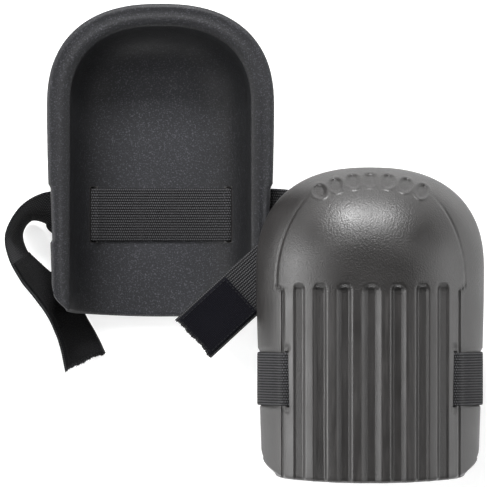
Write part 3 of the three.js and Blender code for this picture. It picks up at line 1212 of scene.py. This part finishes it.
def add_spike(mesh: bmesh.types.BMesh, root: Vector, axis: Vector, long: float, wide: float, thin: float,
              sides: int = 3) -> list[bmesh.types.BMVert]:
    """Add a small tapered bristle.

    Args:
        mesh: the mesh to add it to.
        root: the middle of its foot.
        axis: its direction.
        long: its length.
        wide: its radius at the foot.
        thin: its radius at the tip.
        sides: the number of its sides.

    Returns:
        The new vertices.
    """
    turn = axis.to_track_quat("Z", "Y").to_matrix().to_4x4()
    place = Matrix.Translation(root + axis * (long / 2)) @ turn
    made = bmesh.ops.create_cone(mesh, cap_ends=True, segments=sides, radius1=wide, radius2=thin,
                                 depth=long, matrix=place)
    return made["verts"]


class Pile(Enum):
    """The two faces of a touch fastener."""

    HOOKS = "hooks"
    LOOPS = "loops"


@dataclass
class Patch:
    """A hook or loop patch sewn on a strap's face."""

    name: str
    stations: list[Station]
    pile: Pile
    side: int
    width: float = 34.0
    thickness: float = 1.2
    strap_thickness: float = 1.6

    @property
    def finish(self) -> Finish:
        """The patch's finish."""
        return HOOK if self.pile is Pile.HOOKS else LOOP

    @property
    def length(self) -> float:
        """The patch's length."""
        return self.stations[-1].run - self.stations[0].run

    def lifted(self, station: Station, w: float, out: float) -> Vector:
        """Place over a strap's face, at a distance across and above the strap."""
        height = self.strap_thickness / 2 + 0.12 + out
        return station.at + station.across * w + station.face * (self.side * height)

    def build(self, paints: Paints, place: Matrix) -> bpy.types.Object:
        """Build the patch's backing and its pile.

        Args:
            paints: the materials.
            place: where the pad's frame lies.

        Returns:
            The patch's object.
        """
        rows, columns = len(self.stations) - 1, 24
        mesh, grid = sheet_grid(2 * columns + 4, rows, "tip")
        tip = mesh.verts.layers.float["tip"]
        for vert, p, v in grid:
            w, out = self.section(p * (2 * columns + 4), columns)
            station = self.stations[round(v * rows)]
            cut = ragged(w, self.stations[-1].run - station.run)
            vert.co = self.lifted(station, w, out) + station.along * cut
            vert[tip] = 0.0
        closed(mesh)
        self.add_pile(mesh, tip)
        return finished(self.name, mesh, self.finish, paints, place)

    def section(self, step: float, columns: int) -> tuple[float, float]:
        """Place on the backing's cross-section, which is round at its edges.

        Args:
            step: the step round the section.
            columns: the number of steps.

        Returns:
            The places across and out of the face.
        """
        half, r = self.width / 2, self.thickness / 2
        inner = half - r
        if step <= columns:
            return inner * (-1 + 2 * step / columns), 2 * r
        if step <= columns + 2:
            turn = math.pi * (step - columns) / 2
            return inner + r * math.sin(turn), r + r * math.cos(turn)
        if step <= 2 * columns + 2:
            return inner * (1 - 2 * (step - columns - 2) / columns), 0.0
        turn = math.pi * (step - 2 * columns - 2) / 2
        return -inner - r * math.sin(turn), r - r * math.cos(turn)

    def add_pile(self, mesh: bmesh.types.BMesh, tip: bmesh.types.BMLayerItem) -> None:
        """Cover the backing with hooks in rows, or with tangled loops.

        Args:
            mesh: the patch's mesh.
            tip: the layer that marks the tips, where the finish paints a highlight.
        """
        rng = random.Random(self.name)
        hooks = self.pile is Pile.HOOKS
        pitch = 1.25 if hooks else 1.0
        half = self.width / 2 - 1.2
        low, high = self.stations[0].run + 1.0, self.stations[-1].run - 1.0
        run = low
        while run < high:
            station = min(self.stations, key=lambda s: abs(s.run - run))
            shift = run - station.run
            w = -half
            while w <= half:
                loose = 0.1 if hooks else 0.5
                root = self.lifted(station, w + rng.uniform(-loose, loose), self.thickness - 0.1)
                root += station.along * (shift + rng.uniform(-loose, loose))
                lean = 0.25 if hooks else 1.1
                axis = station.face * self.side + station.along * rng.uniform(-lean, lean)
                axis += station.across * rng.uniform(-lean, lean)
                long = rng.uniform(0.55, 0.75) if hooks else rng.uniform(0.6, 1.5)
                wide, top = (0.2, 0.13) if hooks else (0.16, 0.04)
                verts = add_spike(mesh, root, axis.normalized(), long, wide, top)
                for vert in verts:
                    vert[tip] = 1.0 if (vert.co - root).dot(axis.normalized()) > long / 2 else 0.0
                w += pitch
            run += pitch

    def stitching(self, paints: Paints, place: Matrix) -> bpy.types.Object:
        """Build the running stitch round the patch's edge.

        Args:
            paints: the materials.
            place: where the pad's frame lies.

        Returns:
            The stitching's object.
        """
        mesh = bmesh.new()
        inset, pitch = 1.5, 3.0
        half = self.width / 2 - inset
        low, high = self.stations[0].run + inset, self.stations[-1].run - inset
        spots: list[tuple[float, float, bool]] = []
        count = int((high - low) / pitch)
        for i in range(count):
            run = low + pitch * (i + 0.5)
            spots += [(run, -half, True), (run, half, True)]
        for i in range(int(2 * half / pitch)):
            w = -half + pitch * (i + 0.5)
            spots += [(low, w, False), (high, w, False)]
        for run, w, lengthwise in spots:
            station = min(self.stations, key=lambda s: abs(s.run - run))
            at = self.lifted(station, w, self.thickness + 0.12) + station.along * (run - station.run)
            x = station.along if lengthwise else station.across
            z = station.face
            y = z.cross(x)
            frame = Matrix((x, y, z)).transposed().to_4x4()
            size = Matrix.Diagonal((1.15, 0.3, 0.34, 1))
            bmesh.ops.create_uvsphere(mesh, u_segments=8, v_segments=6, radius=1.0,
                                      matrix=Matrix.Translation(at) @ frame @ size)
        return finished(self.name.replace("patch", "stitching"), mesh, THREAD, paints, place)


# ---------------------------------------------------------------- pads


def unit(x: float, y: float, z: float) -> Vector:
    """Return a direction of unit length."""
    return Vector((x, y, z)).normalized()


FLAT = unit(0, 1, 0)


@dataclass
class Bend:
    """Where a strap turns about a joint: its two bodies, its place and how far the turn spreads."""

    held: str
    moving: str
    spot: Vector
    along: Vector
    before: float = 5.0
    after: float = 6.0

    def apply(self, piece: bpy.types.Object, place: Matrix) -> None:
        """Blend a piece across the joint.

        Args:
            piece: the piece.
            place: the pad's place.
        """
        start = place @ (self.spot - self.along * self.before)
        end = place @ (self.spot + self.along * self.after)
        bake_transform(piece, self.held, self.moving, start=tuple(start * MM), end=tuple(end * MM))


@dataclass
class Pad:
    """What the two pads share: the shell's form and the strap's line across it."""

    form: ShellForm
    centre: Vector
    thickness: float = 1.6
    clearance: float = 0.15
    fold_gap: float = 0.3

    @property
    def lift(self) -> float:
        """How far the strap's middle stands off the foam."""
        return self.clearance + self.thickness / 2

    @property
    def frame(self) -> Matrix:
        """Where the pad's frame lies: the middle of its open end on the floor."""
        return Matrix.Translation(self.centre)

    def across_hollow(self) -> list[tuple[float, float]]:
        """The strap's line from the middle of the hollow towards a slot, as x and height.

        Returns:
            The points.
        """
        shares = (0.0, 0.3, 0.56, 0.76, 0.88)
        half = self.form.hollow_width / 2
        places = [share * self.form.slot_inside for share in shares]
        return [(x, self.form.hollow_at(x / half) - self.lift) for x in places]

    def slot_line(self) -> list[tuple[float, float]]:
        """The strap's line through a slot, as x and height.

        Returns:
            The points.
        """
        form = self.form
        deep = form.slot_outside - form.slot_inside
        return [(form.slot_inside - 1 + (deep + 1) * share, form.slot_start + form.slot_rise * share)
                for share in (0, 0.5, 1)]

    def sew(self, patch: Patch, paints: Paints, body: str, nodes: Iterable[str], bend: Bend | None) -> None:
        """Build a patch and its stitching, and fix both to a body or across a bend.

        Args:
            patch: the patch.
            paints: the materials.
            body: the body that carries it.
            nodes: the CAD nodes that it stands for.
            bend: the bend that it crosses, if any.
        """
        cloth = patch.build(paints, self.frame)
        thread = patch.stitching(paints, self.frame)
        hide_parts(*nodes)
        for piece in (cloth, thread):
            if bend is None:
                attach(piece, body)
            else:
                bend.apply(piece, self.frame)
        LOG.info("%s: %.0f x %.0f mm, with stitching", patch.name, patch.width, patch.length)

    def strap(self, webbing: Webbing, paints: Paints, body: str, nodes: Iterable[str],
              held: str, rests: Iterable[str], bend: Bend | None = None) -> None:
        """Build a stretch of strap, and fix it to a body or across a bend.

        Args:
            webbing: the stretch of strap.
            paints: the materials.
            body: the body that carries it.
            nodes: the CAD nodes that it stands for.
            held: how the strap is held; not used.
            rests: the pieces that it rests on; not used.
            bend: the bend that it crosses, if any.
        """
        cloth = webbing.build(paints, self.frame)
        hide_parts(*nodes)
        if bend is None:
            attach(cloth, body)
        else:
            bend.apply(cloth, self.frame)
        LOG.info("%s: %.0f mm long", webbing.name, webbing.length)


@dataclass
class LeftPad(Pad):
    """The pad on its back, with its strap open at both ends."""

    loop_patch: float = 92.0
    hook_patch: float = 50.0

    @property
    def mouth(self) -> float:
        """The height of a slot's outer mouth over the floor."""
        return self.form.floor_up - self.form.slot_start - self.form.slot_rise

    def at_slot(self, side: int, past: float, y: float, drop: float, wide: Vector) -> tuple[Vector, Vector]:
        """A place near a slot's outer mouth."""
        form = self.form
        return Vector((side * (form.slot_outside + past), form.strap_up + y, self.mouth - drop)), wide

    def on_edge(self, past: float, y: float, wide: Vector) -> tuple[Vector, Vector]:
        """A place past the rim's left edge, with the strap's lower edge just over the floor."""
        form = self.form
        return Vector((-(form.width / 2 + past), form.strap_up + y, 19.0 * wide.z + self.thickness)), wide

    def risen(self, past: float, y: float, share: float, wide: Vector) -> tuple[Vector, Vector]:
        """A place past the rim's right edge, part of the way up from the slot to over the rim.

        Args:
            past: the distance past the outline.
            y: the distance up from the strap.
            share: the share of the way up.
            wide: the strap's direction across.

        Returns:
            The place, and the direction across.
        """
        form = self.form
        over = form.floor_up + self.thickness / 2 + 1.5 * self.fold_gap
        height = self.mouth + share * (over - self.mouth)
        return Vector((form.width / 2 + past, form.strap_up + y, height)), wide

    def loop_tail(self) -> list[Station]:
        """The tail that turns up on edge and comes round to the floor below the pad's corner.

        Returns:
            The stations.
        """
        return Route([
            self.at_slot(-1, -2, 0, 0, FLAT),
            self.at_slot(-1, 1, 0, 0, FLAT),
            self.at_slot(-1, 7, 0.2, 0.4, FLAT),
            self.at_slot(-1, 14, 1.7, 1, unit(-0.03, 0.9, 0.4)),
            self.at_slot(-1, 25, 4.5, 1, unit(-0.1, 0.6, 0.8)),
            self.on_edge(16, 0.5, unit(-0.2, 0.25, 0.95)),
            self.on_edge(24.5, -14, unit(-0.3, 0, 0.95)),
            self.on_edge(21.5, -29.5, unit(-0.34, -0.1, 0.93)),
            self.on_edge(12.5, -42, unit(-0.36, -0.32, 0.88)),
            self.on_edge(0.5, -54.5, unit(-0.42, -0.38, 0.82)),
            self.on_edge(-10, -67.5, unit(-0.5, -0.38, 0.78)),
            self.on_edge(-18, -83, unit(-0.58, -0.32, 0.74)),
            self.on_edge(-23, -95, unit(-0.68, -0.3, 0.66)),
            self.on_edge(-27, -107, unit(-0.78, -0.3, 0.55)),
        ]).stations()

    def hook_tail(self) -> list[Station]:
        """The tail that doubles back under the right pad and lies over the rim.

        Returns:
            The stations.
        """
        across = unit(-0.68, 0.735, 0)
        return Route([
            self.at_slot(1, -2, 0, 0, FLAT),
            self.at_slot(1, 1, 0, 0, FLAT),
            self.at_slot(1, 13, 0, 0, FLAT),
            self.risen(6, -0.5, 0.09, FLAT),
            self.risen(20, -2.5, 0.28, unit(-0.05, 0.99, 0.05)),
            self.risen(28, -6, 0.55, unit(-0.25, 0.9, 0.15)),
            self.risen(28, -11, 0.82, unit(-0.45, 0.85, 0.15)),
            self.risen(21, -16.5, 0.98, unit(-0.62, 0.78, 0)),
            self.risen(12, -24.5, 1, unit(-0.66, 0.75, 0)),
            self.risen(0, -35.7, 1, across),
            self.risen(-12.6, -47.3, 1, across),
            self.risen(-21.6, -55.5, 1, across),
            self.risen(-40, -72.3, 1, across),
            self.risen(-58.4, -89.5, 0.83, across),
        ]).stations()

    def middle(self) -> list[Station]:
        """The strap's run across the hollow, from slot to slot.

        Returns:
            The stations.
        """
        form = self.form
        half = self.across_hollow() + self.slot_line()
        half[-1] = (half[-1][0] - 2.2, half[-1][1])
        line = [(-x, z) for x, z in reversed(half[1:])] + half
        return Route([(Vector((x, form.strap_up, form.floor_up - z)), FLAT) for x, z in line], 1.6).stations()

    def build(self, paints: Paints) -> None:
        """Build the whole left pad.

        Args:
            paints: the materials.
        """
        turn = Matrix.Rotation(math.pi, 4, "Y")
        place = self.frame @ Matrix.Translation((0, 0, self.form.floor_up)) @ turn
        Shell("left_shell_foam", "left_shell", "left_pad", place, self.form).build(paints)
        LOG.info("left shell built")
        under = ["left_shell_foam"]
        middle = Webbing("left_strap_middle", self.middle())
        self.strap(middle, paints, "left_pad", ["left_strap"], "stretched", under)
        loop, hook = self.loop_tail(), self.hook_tail()
        loop_fold = self.fold(loop, "left_loop_tab_fold", "left_loop_tab")
        hook_fold = self.fold(hook, "left_hook_tab_lift", "left_hook_tab")
        loop_strap = Webbing("left_strap_loop_tail", loop, frayed=True)
        hook_strap = Webbing("left_strap_hook_tail", hook, frayed=True)
        self.strap(loop_strap, paints, "left_pad", ["left_strap", "left_loop_end"], "laid", [], loop_fold)
        self.strap(hook_strap, paints, "left_pad", ["left_strap", "left_hook_end"], "laid", under, hook_fold)
        loop_end = loop[-1].run
        loop_face = Patch("left_loop_patch_pile", cut_run(loop, loop_end - self.loop_patch, loop_end - 1.5),
                          Pile.LOOPS, -1)
        hook_end = hook[-1].run
        hook_face = Patch("left_hook_patch_pile", cut_run(hook, hook_end - self.hook_patch, hook_end - 1.5),
                          Pile.HOOKS, -1)
        self.sew(loop_face, paints, "left_pad", ["left_loop_patch", "left_loop_end_patch"], loop_fold)
        self.sew(hook_face, paints, "left_pad", ["left_hook_patch"], hook_fold)

    def fold(self, stations: list[Station], joint: str, moving: str) -> Bend:
        """Find the bend where a joint crosses a tail.

        Args:
            stations: the tail's stations.
            joint: the joint's name.
            moving: the body that moves.

        Returns:
            The bend.
        """
        spot = joint_spot(joint) / MM - self.centre
        station = min(stations, key=lambda s: (s.at - spot).length)
        return Bend("left_pad", moving, station.at, station.along)


def joint_spot(name: str) -> Vector:
    """Return a joint's place, in metres."""
    return next(Vector(j["pos_m"]) for j in frame["joints"] if j["name"] == name)


@dataclass
class RightPad(Pad):
    """The pad with its dome up, on its strap closed into a hoop."""

    rest: float = 60.0
    loop_patch: float = 92.0
    lap: float = 4.0

    @property
    def raised(self) -> float:
        """The height of the rim over the floor."""
        return self.form.floor_up + self.thickness + 3 * self.fold_gap

    @property
    def stack(self) -> float:
        """The height of the hook end's middle over the floor."""
        return self.thickness * 1.5 + 2 * 1.4 + 3 * self.fold_gap

    def over_flank(self) -> list[tuple[float, float]]:
        """The strap's line down the flank, from a slot's outer mouth to the rim's edge.

        Returns:
            The points, as x and height.
        """
        form = self.form
        edge = self.edge
        line = [(form.slot_outside + 4, form.slot_start + form.slot_rise - 0.4)]
        for share in (0.83, 0.89, 0.95, 0.995):
            x = share * edge - form.press
            height = form.outer_at(x, form.strap_up, share)
            slope = form.outer_at(x + 1, form.strap_up, share + 1 / edge)
            slope -= form.outer_at(x - 1, form.strap_up, share - 1 / edge)
            long = math.hypot(slope, 2)
            line.append((x - self.lift * slope / long, height + self.lift * 2 / long))
        return line

    @property
    def edge(self) -> float:
        """The rim's half width level with the strap's upper edge.

        Returns:
            The half width.
        """
        form = self.form
        up = smooth((form.strap_up + 19) / form.arch_base)
        return form.end_width / 2 + (form.width - form.end_width) / 2 * up

    def hoop(self, floor_height: float) -> list[tuple[float, float]]:
        """Half of the hoop, from the rim down to the floor.

        Args:
            floor_height: the height where the strap lies.

        Returns:
            The points, as x and height.
        """
        wide = self.edge + self.lift - self.rest / 2
        tall = self.raised - floor_height
        turns = [math.pi / 2 * i / 5 for i in range(1, 6)]
        return [(self.rest / 2 + wide * math.cos(t), -tall * math.sin(t)) for t in turns]

    def line(self, points: Sequence[tuple[float, float]], side: int) -> list[tuple[Vector, Vector]]:
        """Turn a line of x and height into places, mirrored to one side."""
        return [(Vector((side * x, self.form.strap_up, self.raised + z)), FLAT) for x, z in points]

    def level(self, xs: Sequence[float], height: float) -> list[tuple[Vector, Vector]]:
        """Places along the floor at one height."""
        return [(Vector((x, self.form.strap_up, height)), FLAT) for x in xs]

    def build(self, paints: Paints) -> None:
        """Build the whole right pad.

        Args:
            paints: the materials.
        """
        form = self.form
        place = self.frame @ Matrix.Translation((0, 0, self.raised))
        Shell("right_shell_foam", "right_shell", "right_pad", place, form).build(paints)
        LOG.info("right shell built")
        slot = self.slot_line()
        half = self.across_hollow() + slot
        end = self.rest / 2 - self.lap
        loop_height = self.thickness / 2
        turning = (form.slot_outside - 2, form.slot_start + form.slot_rise * 0.85)
        outer = [turning, slot[-1], *self.over_flank()]
        loop_points = self.line([*half[1:], *self.over_flank(), *self.hoop(loop_height)], -1)
        loop_run = Route([*reversed(self.line(half, 1)), *loop_points,
                          *self.level((-end, 0, end), loop_height)]).stations()
        webbing = Webbing("right_strap_loop_side", loop_run, frayed=True)
        self.strap(webbing, paints, "right_pad", ["right_strap"],
                   "stretched", ["right_shell_foam"])
        hook_points = [*self.line([*outer, *self.hoop(self.stack)], 1), *self.level((0, -end), self.stack)]
        hook_run = Route(hook_points).stations()
        peel = self.fold(hook_run)
        self.strap(Webbing("right_strap_hook_side", hook_run, frayed=True), paints, "right_pad",
                   ["right_strap", "right_hook_end"], "stretched", ["right_shell_foam"], peel)
        loop_face = Patch("right_loop_patch_pile",
                          cut_run(loop_run, loop_run[-1].run - self.loop_patch, loop_run[-1].run - 1.5),
                          Pile.LOOPS, 1, thickness=0.9)
        hook_face = Patch("right_hook_patch_pile",
                          cut_run(hook_run, hook_run[-1].run - 50, hook_run[-1].run - 1.5), Pile.HOOKS, 1,
                          thickness=0.9)
        self.sew(loop_face, paints, "right_pad", ["right_loop_patch"], None)
        self.sew(hook_face, paints, "right_hook_tab", ["right_hook_patch"], peel)

    def fold(self, stations: list[Station]) -> Bend:
        """Find the bend where the hook end peels off.

        Args:
            stations: the strap's stations.

        Returns:
            The bend.
        """
        spot = joint_spot("right_hook_tab_peel") / MM - self.centre
        station = min(stations, key=lambda s: (s.at - spot).length)
        return Bend("right_pad", "right_hook_tab", station.at, station.along, 1.0, 8.0)


# ---------------------------------------------------------------- studio


@dataclass
class Studio:
    """The floor, the lights and the camera over the pair."""

    span: float = 349.0
    height: float = 6.0
    aim: Vector = field(default_factory=lambda: Vector((-0.4, -0.9, 90.0)))

    def build(self, paints: Paints) -> None:
        """Build the whole studio.

        Args:
            paints: the materials.
        """
        self.floor(paints)
        self.world()
        self.lights()
        self.camera()

    def floor(self, paints: Paints) -> None:
        """Lay the pale floor.

        Args:
            paints: the materials.
        """
        mesh = bmesh.new()
        bmesh.ops.create_grid(mesh, x_segments=4, y_segments=4, size=4000.0)
        finished("floor", mesh, FLOOR, paints, Matrix.Translation((0, 0, -0.4)))

    def world(self) -> None:
        """Light the room: bright low down, dark overhead."""
        world = bpy.data.worlds.new("studio")
        bpy.context.scene.world = world
        world.use_nodes = True
        world.node_tree.nodes.clear()
        nodes = Nodes(world.node_tree)
        up = nodes.add("ShaderNodeSeparateXYZ")
        nodes.link(nodes.add("ShaderNodeTexCoord").outputs["Generated"], up.inputs[0])
        glow = nodes.span(up.outputs["Z"], 0.10, 0.45, 2.9, 0.04)
        glow = nodes.math("MULTIPLY", glow, nodes.span(up.outputs["X"], -1.0, 1.0, 1.35, 0.8))
        glow = nodes.math("MULTIPLY", glow, nodes.span(up.outputs["Y"], 0.0, 1.0, 1.0, 0.45))
        light = nodes.add("ShaderNodeBackground", Color=(1.0, 1.0, 1.0, 1.0))
        nodes.link(glow, light.inputs["Strength"])
        output = nodes.add("ShaderNodeOutputWorld")
        nodes.link(light.outputs[0], output.inputs["Surface"])

    def lights(self) -> None:
        """Hang the soft boxes: one at each side, one past the top and a weak one past the shin ends."""
        self.softbox("left_box", (-1.5, 0.0, 0.55), (0.5, 2.6), 38.0)
        self.softbox("right_box", (1.5, 0.0, 0.55), (0.5, 2.6), 18.0)
        self.softbox("top_box", (-0.06, 1.5, 1.02), (0.3, 0.36), 58.0)
        self.softbox("high_box", (-0.05, 0.95, 1.55), (0.45, 0.5), 13.0)
        self.softbox("shin_box", (0.0, -1.7, 0.35), (0.8, 0.25), 9.0)

    def softbox(self, name: str, place: tuple[float, float, float], size: tuple[float, float],
                power: float) -> None:
        """Add one soft box that faces the pair.

        Args:
            name: the light's name.
            place: where it hangs, in metres.
            size: its width and height, in metres.
            power: its power, in watts.
        """
        data = bpy.data.lights.new(name, "AREA")
        data.shape, data.size, data.size_y, data.energy = "RECTANGLE", size[0], size[1], power
        light = bpy.data.objects.new(name, data)
        light.location = place
        light.rotation_euler = (Vector((0, 0, 0.05)) - light.location).to_track_quat("-Z", "Y").to_euler()
        bpy.context.scene.collection.objects.link(light)

    def camera(self) -> None:
        """Set the camera straight over the pair, far enough off to see it square on."""
        data = bpy.data.cameras.new("camera")
        data.sensor_width = 36.0
        data.lens = data.sensor_width * (self.height - self.aim.z * MM) / (self.span * MM)
        data.clip_end = 50.0
        camera = bpy.data.objects.new("camera", data)
        camera.location = (self.aim.x * MM, self.aim.y * MM, self.height)
        bpy.context.scene.collection.objects.link(camera)
        bpy.context.scene.camera = camera
        bpy.context.scene.view_settings.view_transform = "Standard"


def pad_centre(node: str) -> Vector:
    """Return the middle of a shell's open end, on the floor, in millimetres."""
    low, high = (Vector(corner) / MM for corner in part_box(node))
    return Vector(((low.x + high.x) / 2, low.y, 0.0))


def main() -> None:
    """Build the studio and the two pads, and report each piece."""
    logging.basicConfig(level=logging.INFO, format="%(name)s: %(message)s")
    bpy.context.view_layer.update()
    paints = Paints()
    Studio().build(paints)
    form = ShellForm()
    base = Vector((0, 0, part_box("left_shell")[0][2] / MM))
    LeftPad(form, pad_centre("left_shell") + base).build(paints)
    RightPad(form, pad_centre("right_shell") + base).build(paints)


if __name__ == "__main__":
    main()
